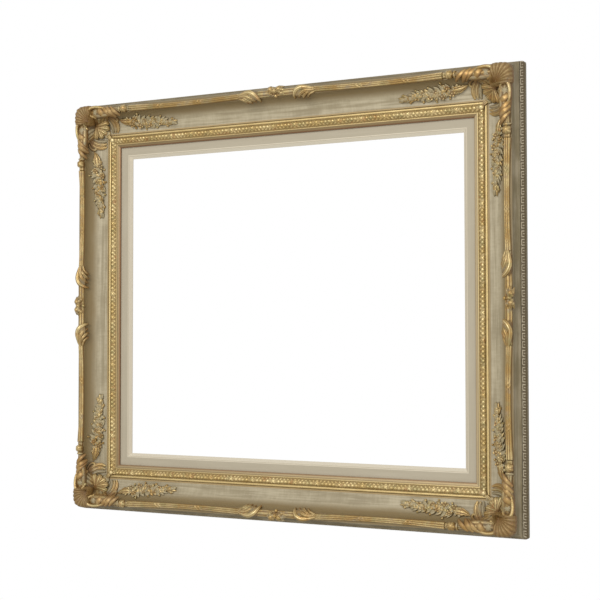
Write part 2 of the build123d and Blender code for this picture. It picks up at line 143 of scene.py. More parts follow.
def smooth_step(values, low, high):
    """0 up to low, 1 from high on, and a soft S between."""
    share = np.clip((values - low) / (high - low), 0, 1)
    return share * share * (3 - 2 * share)


def unit(vectors):
    """The vectors at length 1."""
    return vectors / np.linalg.norm(vectors, axis=-1, keepdims=True)


def curve_through(points, count):
    """Smooth curve through the points: cubic pieces with the slopes of their neighbours."""
    points = np.asarray(points, float)
    slopes = np.gradient(points, axis=0)
    place = np.linspace(0, len(points) - 1, count)
    index = np.minimum(place.astype(int), len(points) - 2)
    share = (place - index).reshape((-1,) + (1,) * (points.ndim - 1))
    start, stop = points[index], points[index + 1]
    leave, arrive = slopes[index], slopes[index + 1]
    bend = 3 * (stop - start) - 2 * leave - arrive
    turn = 2 * (start - stop) + leave + arrive
    return start + share * leave + share ** 2 * bend + share ** 3 * turn


class Carving:
    """Closed surfaces of one ornament in millimetres, with two values at each point for its finish.

    Tone is 0 in a crevice, 1 on a ridge and above 1 for a painted highlight; its low values paint crevices,
    hollows and undersides dark, partly as grime and partly as painted shade. Paint is 1 on painted parts,
    0 on bare gold, and -1 where the gold is rubbed through to warm clay.
    """

    def __init__(self):
        self.surfaces = []

    def add(self, points, tone, paint=0.0):
        """Take a surface given as rows round its section; both its ends are drawn to a point."""
        ends = [points[:1].mean(1, keepdims=True), points[-1:].mean(1, keepdims=True)]
        caps = [np.repeat(end, points.shape[1], 1) for end in ends]
        points = np.concatenate([caps[0], points, caps[1]])
        tone = np.concatenate([tone[:1], tone, tone[-1:]])
        self.surfaces.append((points, tone, np.full(tone.shape, paint)))

    def take(self, other, change=None):
        """Take the surfaces of another carving too, each point changed by the given function."""
        for points, tone, paint in other.surfaces:
            self.surfaces.append((change(points) if change else points, tone, paint))

    def mesh(self, name, place):
        """One mesh of all the surfaces, carried to their place on the frame."""
        corners, faces, tones, paints = [], [], [], []
        count = 0
        for points, tone, paint in self.surfaces:
            rows, columns = tone.shape
            index = count + np.arange(rows * columns).reshape(rows, columns)
            beside = np.roll(index, -1, 1)
            quads = np.stack([index[:-1], beside[:-1], beside[1:], index[1:]], -1)
            corners.append(points.reshape(-1, 3))
            faces.append(quads.reshape(-1, 4))
            tones.append(tone.ravel())
            paints.append(paint.ravel())
            count += rows * columns
        corners = np.concatenate(corners)
        # Painted shade: the tone is lowered where a point lies below the carving about it, as in a hollow.
        shade = 0.7 * smooth_step(hollow_depth(corners), 0.8, 4.6)
        tones = np.concatenate(tones) * (1 - shade)
        mesh = bpy.data.meshes.new(name)
        mesh.from_pydata(place(corners) * MM, [], np.concatenate(faces))
        for label, values in (("tone", tones), ("paint", np.concatenate(paints))):
            layer = mesh.attributes.new(label, "FLOAT", "POINT")
            layer.data.foreach_set("value", values.astype(np.float32))
        close_seams(mesh)
        return mesh


def hollow_depth(points, cell=1.0, reach=3):
    """How far each point lies below the carving about it, in millimetres.

    The highest point of every cell of the plan makes a map of heights. Its mean over the cells within reach,
    less the point's own height, is the depth.
    """
    plan = ((points[:, :2] - points[:, :2].min(0)) / cell).astype(int) + reach
    heights = np.full(plan.max(0) + reach + 1, -np.inf)
    np.maximum.at(heights, tuple(plan.T), points[:, 2])
    filled = np.isfinite(heights).astype(float)
    heights = np.where(filled > 0, heights, 0)
    steps = range(-reach, reach + 1)
    total = sum(np.roll(heights, (i, j), (0, 1)) for i in steps for j in steps)
    count = sum(np.roll(filled, (i, j), (0, 1)) for i in steps for j in steps)
    return (total / np.maximum(count, 1))[tuple(plan.T)] - points[:, 2]


def close_seams(mesh):
    """Merge the doubled points of the seams and poles, and turn every face outwards."""
    shape = bmesh.new()
    shape.from_mesh(mesh)
    bmesh.ops.remove_doubles(shape, verts=shape.verts, dist=0.002 * MM)
    bmesh.ops.dissolve_degenerate(shape, edges=shape.edges, dist=0.001 * MM)
    bmesh.ops.recalc_face_normals(shape, faces=shape.faces)
    shape.to_mesh(mesh)
    shape.free()
    mesh.polygons.foreach_set("use_smooth", np.ones(len(mesh.polygons), bool))


def set_piece(node, carving, place, material):
    """Put a carving in the place of its CAD node, on the same body."""
    piece = bpy.data.objects.new(node + "_carving", carving.mesh(node + "_carving", place))
    bpy.context.scene.collection.objects.link(piece)
    piece.data.materials.append(material)
    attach(piece, "frame")
    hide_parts(node)


def frond(path, half_width, rise, up=(0, 0, 1), root=2.0, reeds=1, groove=0.3, lobes=0, notch=0.3,
          gleam=(1, 1), rows=30, columns=24):
    """Leaf or rib carried along a smooth path, and the tone of its points.

    Its section is an arch over a rounded root. Reeds run along the arch as the size of a cosine of the place
    across, and the edge draws in after each of `lobes` lobes like a saw. Gleam scales the tone along the way.
    """
    line = curve_through(path, rows)
    along = np.linspace(0, 1, rows)[:, None]
    half = np.maximum(curve_through(half_width, rows), 0.05)[:, None]
    high = np.maximum(curve_through(rise, rows), 0.05)[:, None]
    if lobes:
        half = half * (1 - notch * (along * lobes % 1) ** 1.5)
    up = np.asarray(up, float)
    up = curve_through(up, rows) if up.ndim == 2 else up
    tangent = unit(np.gradient(line, axis=0))
    side = unit(np.cross(tangent, up))
    normal = np.cross(side, tangent)
    angle = np.linspace(0, 2 * np.pi, columns, endpoint=False)
    across = np.cos(angle)
    arch = np.sign(np.sin(angle)) * np.abs(np.sin(angle)) ** 0.8
    ridge = np.abs(np.cos(0.5 * np.pi * reeds * across + 0 * along))
    lift = np.where(arch > 0, high * arch * (1 - groove * (1 - ridge)), root * arch)
    points = line[:, None] + side[:, None] * (half * across)[..., None] + normal[:, None] * lift[..., None]
    # Painted shade: the tone falls between the reeds and towards the underside; a gleam above 1 paints a
    # highlight.
    tone = ridge ** 0.7 * smooth_step(arch, -0.1, 0.75) * curve_through(gleam, rows)[:, None]
    return points, tone


def ball(centre, radii, gores=0, gleam=1.0, rows=14, columns=24):
    """Rounded boss about its centre; `gores` swells it round its upright axis like a melon."""
    down = np.linspace(0.02, np.pi - 0.02, rows)[:, None]
    angle = np.linspace(0, 2 * np.pi, columns, endpoint=False)
    ridge = np.abs(np.cos(0.5 * gores * angle)) if gores else np.ones(columns)
    girth = np.sin(down) * (0.86 + 0.14 * ridge)
    shape = np.stack([girth * np.cos(angle), girth * np.sin(angle), np.cos(down) * np.ones(columns)], -1)
    # Painted shade: the tone falls towards the back and between the gores; a gleam above 1 paints a
    # highlight.
    tone = gleam * smooth_step(np.cos(down), -0.3, 0.5) * (0.35 + 0.65 * ridge)
    return np.asarray(centre, float) + shape * np.asarray(radii, float), tone


def flower(centre, radius, facing, petals=5, rows=18, columns=40):
    """Open flower: petals that cup up from a dip round the raised eye, over a tapering root."""
    facing = unit(np.asarray(facing, float))
    side = unit(np.cross(facing, (1.0, 0.2, 0.1)))
    other = np.cross(facing, side)
    angle = np.linspace(0, 2 * np.pi, columns, endpoint=False)
    petal = np.abs(np.cos(0.5 * petals * angle)) ** 0.6
    share = np.linspace(0, 1, rows)
    out = curve_through([0.02, 0.2, 0.42, 0.7, 0.95, 1.0, 0.7, 0.35], rows)[:, None]
    high = curve_through([0.6, 0.5, 0.22, 0.42, 0.46, 0.2, -0.3, -0.7], rows)[:, None]
    reach = out * (1 - 0.3 * (1 - petal) * smooth_step(out, 0.25, 0.9))
    lift = high - 0.3 * (1 - petal) * smooth_step(out, 0.3, 0.8) * (high > -0.2)
    spread = np.cos(angle)[:, None] * side + np.sin(angle)[:, None] * other
    points = np.asarray(centre, float) + radius * (reach[..., None] * spread + lift[..., None] * facing)
    eye = 1 - smooth_step(share, 0.12, 0.3)[:, None]
    # Painted shade: the tone is low in the dip round the eye and between the petals, and nil on the
    # underside.
    tone = np.clip(eye + smooth_step(out, 0.4, 0.8) * petal, 0, 1) * (high > -0.2)
    return points, tone


def shell_fan(heart, reach, flutes, rows=56, columns=300):
    """Scallop shell at a corner, and its tone.

    From the heart the surface climbs and rolls over at a rim that is a rounded square, cut short on the side
    of the picture. Flutes run out from the heart as the size of a cosine of the angle, and notch the rim.
    """
    angle = np.linspace(0, 2 * np.pi, columns, endpoint=False)
    off = np.abs((angle - 0.25 * np.pi + np.pi) % (2 * np.pi) - np.pi)
    square = (np.cos(angle) ** 4 + np.sin(angle) ** 4) ** -0.25
    rim = reach * square * (1 - 0.72 * smooth_step(off, 0.85, 1.4))
    ridge = np.abs(np.cos(0.5 * flutes * off))
    out = curve_through([0.05, 0.25, 0.5, 0.72, 0.9, 1.0, 0.98, 0.7], rows)[:, None]
    high = curve_through([5.0, 8.4, 11.8, 13.2, 11.4, 6.0, 0.0, -6.0], rows)[:, None]
    deep = smooth_step(out, 0.08, 0.5)
    far = out * rim * (1 - 0.015 * (1 - ridge) * deep)
    lift = high - 1.3 * (1 - ridge) * deep * (high > 0)
    points = np.stack([heart + far * np.cos(angle), heart + far * np.sin(angle), T_SEAT + lift], -1)
    # Painted shade: the tone is low towards the heart, between the flutes and under the rolled rim.
    tone = (0.18 + 0.25 * deep) * (0.5 + 0.5 * ridge) * smooth_step(high, -2, 4)
    return points, tone


def on_crest(along, aside, lift):
    """Point at a corner, `along` from the crossing of the crests, beside the second side's crest."""
    return (U_CREST - along, U_CREST + aside, T_SEAT + lift)


def laid(places):
    """Points (p, q, lift) of a corner laid on the cove, and the way that the cove faces at each."""
    p, q, lift = np.asarray(places, float).T
    higher = np.maximum(p, q)
    lean = -face_slope(higher)
    facing = unit(np.stack([np.where(p > q, lean, 0), np.where(q >= p, lean, 0), np.ones(len(p))], -1))
    points = np.stack([p, q, face_height(higher)], -1) + facing * lift[:, None]
    return points, facing


def pleats():
    """Skirt of slanting pleats that falls from an arm to the cove beside the palmette.

    It is a ruled sheet between a line under the arm and a line on the cove. The size of a cosine that runs
    along it and slants across swells it into pleats, and its back lies under it.
    """
    rows = 80
    columns = 20
    along = np.linspace(0, 1, rows)[:, None]
    down = np.linspace(0, 1, columns)
    across = np.concatenate([down, down[::-1]])
    front = np.repeat([1.0, 0.0], columns)
    under_arm = [on_crest(12, -8, 3), on_crest(24, -9.5, 2), on_crest(36, -10, 1), on_crest(50, -9, 0)]
    on_cove = laid([(63, 57, 0.6), (53, 55, 0.8), (42, 60, 0.8), (31, 69.5, 0.6)])[0]
    top = curve_through(under_arm, rows)
    foot = curve_through(on_cove, rows)
    ridge = np.abs(np.cos(np.pi * (4.5 * along + 2.4 * across)))
    swell = np.where(front > 0, 0.6 + 1.3 * ridge * np.sin(np.pi * across) ** 0.6, -3.0)
    facing = unit(np.array([0.0, -0.75, 0.66]))
    sheet = top[:, None] + (foot - top)[:, None] * across[:, None]
    skirt = Carving()
    # Painted shade: the tone stays low over the skirt under the arm and falls further between the pleats.
    skirt.add(sheet + swell[..., None] * facing, front * (0.35 + 0.3 * ridge), 0.5)
    return skirt


def rail_wrap():
    """One arm of a corner cartouche along its rail.

    A C-scroll with its eye on the cove's side rounds a painted boss. Next to it a sheath of broad slanting
    ribs wraps the crest: each leaves the outer edge and crosses to the cove while it runs on along the rail,
    and falls off with the square of its distance from the arm's middle. A stem and a knob end the arm.
    """
    wrap = pleats()
    body = [on_crest(12, -1, 0), on_crest(26, -2, 1), on_crest(40, -2.4, 1.5), on_crest(55, -2.4, 1.5),
            on_crest(68, -0.8, 0.8), on_crest(82, 0, 0.2), on_crest(96.5, 0, 0)]
    wrap.add(*frond(body, [8, 9.4, 9.8, 8.4, 4.8, 4.3, 4.6], [5, 5.8, 6.6, 6.4, 5.6, 5.0, 5.6], root=5,
                    reeds=3, groove=0.2, gleam=(0.5, 0.6, 0.7, 0.9), rows=72, columns=48), 0.45)
    wrap.add(*ball(on_crest(30.5, -2, 0), (8.6, 8.0, 7.6), gores=8, rows=22, columns=48), 0.85)
    scroll = [on_crest(27.5, -9.5, 1.5), on_crest(21.5, -8, 5.5), on_crest(18.5, -1.5, 8.6),
              on_crest(21.5, 4, 8.8), on_crest(30, 6, 8), on_crest(39, 5.4, 7), on_crest(47, 3.6, 6)]
    wrap.add(*frond(scroll, [2.2, 2.6, 2.8, 2.8, 2.6, 2.4, 1.2], [2.0, 2.4, 2.8, 2.8, 2.6, 2.2, 1.0], root=5,
                    gleam=(0.8, 0.9, 1.2, 1.3, 1.2, 0.9), rows=70, columns=28), 0.15)
    wrap.add(*ball(scroll[0], (3.4, 3.4, 3.2)))
    arm_middle = -2.4
    for start, run, size in ((36, 0.8, 1.15), (45.5, 1.1, 0.95), (53, 0.9, 1.05), (60.5, 1.1, 0.8)):
        rib = []
        for aside in np.linspace(5.4, -11.5, 5) * (0.6 + 0.4 * size):
            bend = 0.006 if aside > arm_middle else 0.012
            lift = (8.2 + size) * (1 - bend * (aside - arm_middle) ** 2) - 1
            rib.append(on_crest(start + run * (5 - aside), aside, lift))
        half_width = size * np.array([2.2, 3.7, 4.2, 3.7, 1.8])
        rise = size * np.array([0.6, 0.9, 1.0, 0.9, 0.6])
        wrap.add(*frond(rib, half_width, rise, root=4, gleam=(0.75, 0.8, 0.7, 0.5, 0.35), rows=40,
                        columns=28), -0.55)
    collar = [on_crest(77.5, -5.4, -1), on_crest(78, -4.2, 3.8), on_crest(78.5, 0, 6), on_crest(78, 4.2, 3.8),
              on_crest(77.5, 5.4, -1)]
    wrap.add(*frond(collar, [1.2, 1.6, 1.8, 1.6, 1.2], [0.8, 1.2, 1.4, 1.2, 0.8], root=1.6, rows=26,
                    columns=14), 0.5)
    wrap.add(*ball(on_crest(86.5, 0, 4), (7.2, 6.8, 6.4), gores=6, gleam=0.9, rows=20, columns=42), -0.2)
    return wrap


def cove_scrolls():
    """Leaf flutes that fall from an arm across the cove to the bead, and a small curl at their root."""
    scrolls = Carving()
    for step in range(3):
        path, facing = laid([
            (37 + 4.6 * step, 71.6, 0.2),
            (27 + 5.6 * step, 68.6, 1.2),
            (21.5 + 5.6 * step, 61, 1.6),
            (20.5 + 5.4 * step, 52, 1.4),
            (22.5 + 4.8 * step, 44.4, 0.8),
        ])
        scrolls.add(*frond(path, [2.0, 3.2, 3.4, 3.0, 1.4], [1.2, 1.9, 2.1, 1.9, 0.9], up=facing, root=2.4,
                           reeds=2, groove=0.3, gleam=(0.5, 0.7, 1.1 - 0.2 * step), rows=44, columns=28),
                    0.1 + 0.35 * step)
    curl, facing = laid([
        (29, 72, 0.4),
        (22, 71, 1.4),
        (17.5, 67.5, 1.6),
        (18.5, 63.5, 1.6),
        (21.5, 64.5, 2.0),
    ])
    scrolls.add(*frond(curl, [1.2, 2.0, 2.2, 1.8, 1.2], [1.2, 1.8, 2.0, 1.6, 1.2], up=facing, root=2.4,
                       rows=44), 0.4)
    return scrolls


def corner_cartouche():
    """Corner ornament: shell, an arm along each rail, palmette and tongue down the mitre to the bead."""
    corner = Carving()
    corner.add(*shell_fan(heart=U_CREST - 16.5, reach=26.6, flutes=26), 0.28)
    bed = laid([(69, 69, 0), (60, 60, 2), (51, 51, 1.6), (43, 43, 1.0), (37, 37, 1.2)])[0]
    corner.add(*frond(bed, [15, 17, 14, 8, 2], [4, 5, 4.4, 3.4, 1.6], up=(-0.3, -0.3, 1), root=6, reeds=11,
                      groove=0.35, lobes=4, notch=0.2, rows=60, columns=90), 0.6)
    heart = 61.0
    length = 24.5
    for turn in range(-2, 3):
        bearing = math.radians(225 + 26 * turn)
        path = laid([
            (heart + far * length * math.cos(bearing), heart + far * length * math.sin(bearing), lift)
            for far, lift in ((0.02, 9.0), (0.35, 8.4), (0.68, 6.4), (0.92, 4.6), (1.02, 2.0))
        ])[0]
        corner.add(*frond(path, [1.2, 2.2, 3.8, 4.4, 2.4], [1.8, 3.4, 4.2, 3.8, 1.8], up=(-0.35, -0.35, 1),
                          root=6, reeds=2, groove=0.3, gleam=(0.5, 0.7, 1.0, 1.3), rows=40, columns=32),
                   0.06 * abs(turn))
    corner.add(*ball((heart + 1.5, heart + 1.5, 43.0), (4.8, 4.8, 4.6), gores=6))
    tongue = laid([(41.5, 41.5, 1.6), (39.5, 39.5, 2.4), (37, 37, 2.4), (35, 35, 2.0)])[0]
    corner.add(*frond(tongue, [3.0, 3.6, 3.2, 1.8], [2.0, 2.4, 2.4, 1.8], up=(-0.2, -0.2, 1), root=4, reeds=3,
                      groove=0.35, rows=34, columns=36), 0.3)
    corner.add(*ball((32.4, 32.4, 25.6), (4.4, 4.4, 4.0), gleam=1.35, rows=16))
    half = rail_wrap()
    half.take(cove_scrolls())
    corner.take(half)
    corner.take(half, lambda points: points[..., [1, 0, 2]])
    return corner


def clasp_half():
    """One clasp of a centre ornament, and one of the two rosettes.

    The clasp is a leaf that leaves the stem on the side of the corner. A bright rim goes over the crest to
    the cove on the side of the middle, and folds fan down to the cove between the rim and the stem.
    """
    def point(along, aside, lift):
        return (along, U_CREST + aside, T_SEAT + lift)

    half = Carving()
    belly = [point(30, -0.5, 0), point(36, -1.5, 2), point(43.5, -2, 2.4), point(51, -1, 1.6),
             point(59, 0, 0)]
    half.add(*frond(belly, [4.0, 7.0, 7.6, 6.4, 4.4], [4.0, 5.6, 6.0, 5.6, 4.8], up=(0, -0.25, 1), root=5,
                    reeds=7, groove=0.3, gleam=(0.4, 0.55, 0.6, 0.6), rows=64, columns=64), 0.5)
    rim = [point(68, 0.5, 4.4), point(59, 2.4, 5.6), point(47, 4.0, 7.2), point(37.5, 0.2, 7.6),
           point(32, -6.2, 2.8), point(30, -10.5, -4.6)]
    half.add(*frond(rim, [0.8, 2.6, 3.5, 3.5, 2.8, 1.2], [0.8, 1.9, 2.8, 2.8, 2.2, 1.0], root=4, reeds=2,
                    groove=0.2, gleam=(0.9, 1.2, 1.45, 1.4, 1.0), rows=60, columns=28), 0.0)
    folds = (((67.5, -1.6, 4.2), (54, -1.2, 6.8), (43.5, -5.6, 5.4), (37.5, -10.6, -3.0), 3.0, -0.3),
             ((61, -2.4, 3.6), (53.5, -5.2, 5.0), (47, -9.2, 0.4), (45, -11.6, -4.8), 2.7, 0.2),
             ((67, -3.6, 2.4), (58, -6.4, 2.4), (53.5, -9.2, -1.4), (52, -11, -4.6), 2.1, 0.1))
    for *places, wide, paint in folds:
        fold = [point(*place) for place in places]
        high = 0.7 * wide
        half.add(*frond(fold, [1.2, wide, wide, 1.0], [1.0, high, high, 0.8], root=4, reeds=2, groove=0.25,
                        gleam=(0.9, 1, 0.8), rows=44, columns=24), paint)
    half.add(*ball(point(6.6, 4.2, 4.6), (7.0, 6.4, 5.2), gores=5, gleam=0.85, rows=18, columns=50), 0.45)
    half.add(*ball(point(6.8, 4.8, 8.2), (4.0, 4.0, 3.0), gores=3, gleam=1.05, rows=14, columns=30), 0.1)
    for lean, far in ((-4.5, 16), (1.5, 19), (7.0, 15)):
        leaf = [point(5, 2 + 0.3 * lean, 1.5), point(0.62 * far, 2 + 0.7 * lean, 4.6),
                point(far, 2 + lean, 2)]
        half.add(*frond(leaf, [1.6, 3.0, 0.5], [1.6, 2.2, 0.6], root=3, reeds=2, rows=20), 0.45)
    return half


def centre_ornament():
    """Stem along the crest, a knot of two rosettes in the middle and a leaf clasp on each side of it."""
    centre = Carving()
    stem = [(s, U_CREST, T_SEAT) for s in np.linspace(-CENTRE_REACH, CENTRE_REACH, 5)]
    centre.add(*frond(stem, [4.9, 5.4, 5.4, 5.4, 4.9], [5.7, 5.4, 5.0, 5.4, 5.7], root=0.6, reeds=2,
                      groove=0.3, rows=60), 0.35)
    half = clasp_half()
    centre.take(half)
    centre.take(half, lambda points: points * (-1, 1, 1))
    centre.add(*ball((0, U_CREST + 2.5, T_SEAT + 6.5), (3.6, 4.4, 4.2), gores=6))
    centre.add(*ball((0, U_CREST - 5, T_SEAT + 2.6), (3.0, 3.0, 3.0)))
    return centre


def spray(seed):
    """Flower spray on the cove: leaves in two tiers to both sides of a stem, flowers, and buds on stalks.

    It starts with one pointed leaf, fills the cove a third of the way along and thins to its end. Leaves
    lean to the corner at its start and away from it further on. Points are (distance from the corner end,
    u, t), and each piece is leant to face out of the cove.
    """
    random = np.random.default_rng(seed)
    carving = Carving()
    leaf_tiers = ((1.0, 2.0), (0.55, 3.2), (0.2, 4.0))
    flowers = ((0.2, -0.4, 5.4), (0.27, 0.5, 5.0), (0.37, -0.4, 5.8), (0.46, 0.35, 5.0),
               (0.56, -0.3, 5.4), (0.68, 0.3, 4.4), (0.78, -0.2, 4.8), (0.92, 0.1, 3.8))

    def on_cove(along, across, lift):
        u = U_COVE + min(max(across, 0.05), 0.95) * COVE_RUN
        facing = unit(np.array([0, -face_slope(u), 1.0]))
        return np.array([along * SPRAY_LENGTH, u, face_height(u)]) + lift * facing, facing

    def middle(along):
        return 0.6 - 0.22 * along + 0.03 * math.sin(11 * along)

    def spread(along):
        return float(np.interp(along, (0, 0.12, 0.3, 0.6, 0.85, 1), (0.1, 0.26, 0.36, 0.3, 0.2, 0.08)))

    def stroke(places, half_width, rise, paint, **shape):
        points, facing = zip(*[on_cove(*place) for place in places])
        carving.add(*frond(points, half_width, rise, up=facing, **shape), paint)

    stroke([(along, middle(along), 0.4) for along in (0, 0.25, 0.5, 0.75, 1)], [2.0, 1.6, 1.4, 1.1, 0.5],
           [1.8, 1.6, 1.4, 1.1, 0.5], 0.6, root=1.5, rows=60, columns=12)
    pointed_leaf = [(0.24, middle(0.2), 1.4), (0.14, middle(0.1), 3.2), (0.03, middle(0.02) + 0.06, 3),
                    (-0.07, middle(0) + 0.16, 1)]
    stroke(pointed_leaf, [2.0, 6.2, 5.6, 0.4], [1.4, 3.0, 2.8, 0.6], 0.05, root=2, reeds=2, groove=0.5,
           lobes=4, notch=0.3, rows=40)
    for along in np.arange(0.1, 0.98, 0.062):
        size = 1.15 - 0.4 * along
        for tier, lift in leaf_tiers:
            for hand in (1, -1):
                start = along + random.uniform(-0.03, 0.03)
                lean = float(np.interp(along, (0, 0.25, 1), (-0.05, 0.07, 0.12))) * random.uniform(0.6, 1.4)
                wide = hand * tier * spread(along) * random.uniform(0.75, 1.2)
                line = middle(along)
                stroke([(start, line + 0.25 * wide, 1.2), (start + 0.45 * lean, line + 0.65 * wide, lift),
                        (start + lean, line + wide, 0.8)],
                       [1.6 * size, 3.5 * size * random.uniform(0.75, 1.15), 0.4], [1.0, 1.9, 0.5],
                       random.uniform(0.35, 1.0), root=2.0, reeds=2, groove=0.5, rows=7, columns=10)
    for along, aside, radius in flowers:
        centre, facing = on_cove(along, middle(along) + aside * spread(along), 3.4)
        lean = (random.uniform(-0.2, 0.2), random.uniform(-0.2, 0.2), 0)
        carving.add(*flower(centre, radius, facing + lean, rows=12, columns=20), random.uniform(0.0, 0.5))
    for index, along in enumerate(np.arange(0.2, 1.0, 0.11)):
        hand = 1 if index % 2 else -1
        tip = (along + 0.05, middle(along) + hand * (spread(along) + random.uniform(0.0, 0.1)), 1.6)
        stroke([(along, middle(along), 1.0), (along + 0.03, 0.5 * (middle(along) + tip[1]), 2.2), tip],
               [0.8, 0.7, 0.6], [0.8, 0.7, 0.6], 0.4, root=1, rows=6, columns=6)
        carving.add(*ball(on_cove(*tip)[0], np.full(3, random.uniform(1.6, 2.2)), rows=6, columns=8), 0.0)
    return carving


def reeded_sweep(half, bands):
    """Sweep between a clasp and a corner: three reeds side by side, bound by slanting ribbon bands.

    Half way along it is low and narrow and bends in towards the picture. The CAD sweep is low there too, but
    runs straight. A band is a bell of the distance along, slanted by the place across.
    """
    start = CENTRE_REACH + SWEEP_GAP
    stop = half + U_CREST - CORNER_REACH - SWEEP_GAP
    rows = int(stop - start)
    columns = 64
    s = np.linspace(start, stop, rows)[:, None]
    wide = SWEEP_HALF_W * curve_through([0.84, 0.8, 0.76, 0.84, 1], rows)[:, None]
    high = SWEEP_RISE * curve_through([0.84, 0.72, 0.62, 0.74, 1], rows)[:, None]
    inward = curve_through([0, 1.3, 1.7, 1.3, 0], rows)[:, None]
    angle = np.linspace(0, 2 * np.pi, columns, endpoint=False)
    across = np.cos(angle)
    arch = np.sin(angle)
    reed = np.abs(np.cos(1.5 * np.pi * across))
    ribbon = sum(np.exp(-((s - place + 4.5 * across) / 1.9) ** 2) for place in bands)
    ribbon = np.clip(ribbon, 0, 1)
    ridge = np.maximum(reed ** 0.7, ribbon)
    body = np.abs(arch) ** 0.75 * (0.72 + 0.28 * np.maximum(reed, ribbon)) + 0.1 * ribbon
    lift = np.where(arch > 0, high * body, -0.4 * np.abs(arch))
    points = np.stack([s + 0 * across, U_CREST - inward + wide * across, T_SEAT + lift], -1)
    carving = Carving()
    # Painted shade: the tone falls between the reeds and towards the underside.
    carving.add(points, 0.92 * ridge * smooth_step(arch, -0.05, 0.5) * (1 - 0.25 * ribbon), 0.3)
    return carving


def strip_grid(rows, columns, under):
    """Places along a mitred strip (rows, from -1 to 1) and round its section: the face, then the back."""
    along = np.linspace(-1, 1, rows)[:, None]
    face = np.linspace(-1, 1, columns)
    back = np.linspace(1, -1, under + 2)[1:-1]
    across = np.concatenate([face, back])
    front = np.concatenate([np.ones(columns, bool), np.zeros(under, bool)])
    return along, across, front


def sight_ornament(half):
    """Running ornament of the slip: runs of four beads, between crossed-petal flowers.

    The strip climbs from the lip to a ridge next to the bead of the slip and falls away behind it. Each bead,
    petal and flower eye is half an ellipsoid on that ridge, in a repeat of about 38 mm, and so are the darts
    on the slope.
    """
    ridge_line = 1.5
    dart_line = -2.6
    flower_half = 6.4
    petal_size = (5.2, 1.7)
    row_step = 0.45
    span = 2 * (half + U_ORNAMENT)
    along, across, front = strip_grid(int(span / row_step), 23, 3)
    beside = ORNAMENT_HALF_W * across
    s = along * (half + U_ORNAMENT + beside)
    repeat = span / round(span / ORNAMENT_REPEAT)
    place = (s / repeat % 1 - 0.5) * repeat
    off_ridge = beside - ridge_line
    off_darts = beside - dart_line

    def dome(long, wide, long_half, wide_half):
        return np.sqrt(np.clip(1 - (long / long_half) ** 2 - (wide / wide_half) ** 2, 0, 1))

    run = np.abs(place) - flower_half
    pitch = (repeat / 2 - flower_half) / 2
    bead = (run / pitch % 1 - 0.5) * pitch
    beads = dome(bead, off_ridge, 0.44 * pitch, 3.0) * (run > 0)
    turned = (place + off_ridge) / math.sqrt(2), (place - off_ridge) / math.sqrt(2)
    petals = np.maximum(dome(*turned, *petal_size), dome(*turned[::-1], *petal_size))
    eye = dome(place, off_ridge, 1.9, 1.9)
    dart = ((run / pitch + 0.5) % 1 - 0.5) * pitch
    darts = dome(dart + 0.5 * off_darts, off_darts, 0.34 * pitch, 2.0)
    relief = np.maximum.reduce([beads, 0.8 * petals, 0.9 * eye, 0.6 * darts])
    climb = smooth_step(across, -1.05, 0.3)
    fall = smooth_step(across, 0.75, 1.02)
    lift = np.where(front, 0.9 + 2.6 * climb - 1.9 * fall + 2.0 * relief, 0)
    points = np.stack([s, U_ORNAMENT + beside + 0 * along, T_ORNAMENT + lift], -1)
    carving = Carving()
    # Painted shade and highlight: the tone is low at the foot of the climb and high on the relief, highest on
    # the bead tops.
    tone = 0.22 + 0.26 * climb + 0.35 * smooth_step(relief, 0.1, 0.7) + 0.22 * smooth_step(beads, 0.3, 0.85)
    carving.add(points, tone * front)
    return carving


def fret_strip(half):
    """Key pattern on the outer edge: a raised line that turns back on itself in squares.

    The relief falls off with the distance to the nearest straight stretch of the line. At the mitres, points
    beyond a quarter circle about the outer corner are drawn in onto it.
    """
    row_step = 0.62
    u_middle = U_EDGE - FRET_LEAN / 2
    tall = T_FRET_TOP - T_FRET
    span = 2 * (half + u_middle)
    along, across, front = strip_grid(int(span / row_step), 25, 2)
    repeat = span / round(span / FRET_REPEAT)
    place = (along * (half + u_middle) / repeat % 1) * repeat
    beside = 0.5 * tall * across
    key = ((1.0, -4.4), (1.0, 4.4), (9.0, 4.4), (9.0, -4.4), (5.0, -4.4), (5.0, 1.0))
    far = np.full(np.broadcast_shapes(place.shape, beside.shape), np.inf)
    for (x0, y0), (x1, y1) in zip(key[:-1], key[1:]):
        for shift in (-repeat, 0, repeat):
            gap_x = np.maximum(np.abs(place + shift - (x0 + x1) / 2) - abs(x1 - x0) / 2, 0)
            gap_y = np.maximum(np.abs(beside - (y0 + y1) / 2) - abs(y1 - y0) / 2, 0)
            far = np.minimum(far, np.hypot(gap_x, gap_y))
    border = smooth_step(np.abs(beside), 0.5 * tall - 0.9, 0.5 * tall - 0.4)
    relief = np.maximum(1 - smooth_step(far, 0.35, 1.0), border)
    lift = np.where(front, 0.5 * relief - 0.55, -1.5)
    t = (T_FRET + T_FRET_TOP) / 2 + beside
    u = U_EDGE - FRET_LEAN * (0.5 + 0.5 * across) + lift
    beyond = np.abs(along) * (half + u) - half
    centre = U_EDGE - OUTER_ROUND
    from_centre = np.hypot(np.maximum(u - centre, 0), np.maximum(beyond - centre, 0))
    drawn_in = np.minimum(OUTER_ROUND / np.maximum(from_centre, 0.01), 1)
    rounded_u = np.where(u > centre, centre + (u - centre) * drawn_in, u)
    rounded_beyond = np.where(beyond > centre, centre + (beyond - centre) * drawn_in, beyond)
    points = np.stack([np.sign(along) * (half + rounded_beyond), rounded_u, t + 0 * u], -1)
    carving = Carving()
    carving.add(points, np.clip(relief, 0, 1) * front)
    return carving


def tint(red, green, blue):
    """Linear colour of a paint given in everyday values from 0 to 255."""
    share = np.array([red, green, blue]) / 255
    linear = np.where(share <= 0.04045, share / 12.92, ((share + 0.055) / 1.055) ** 2.4)
    return (*linear.tolist(), 1.0)


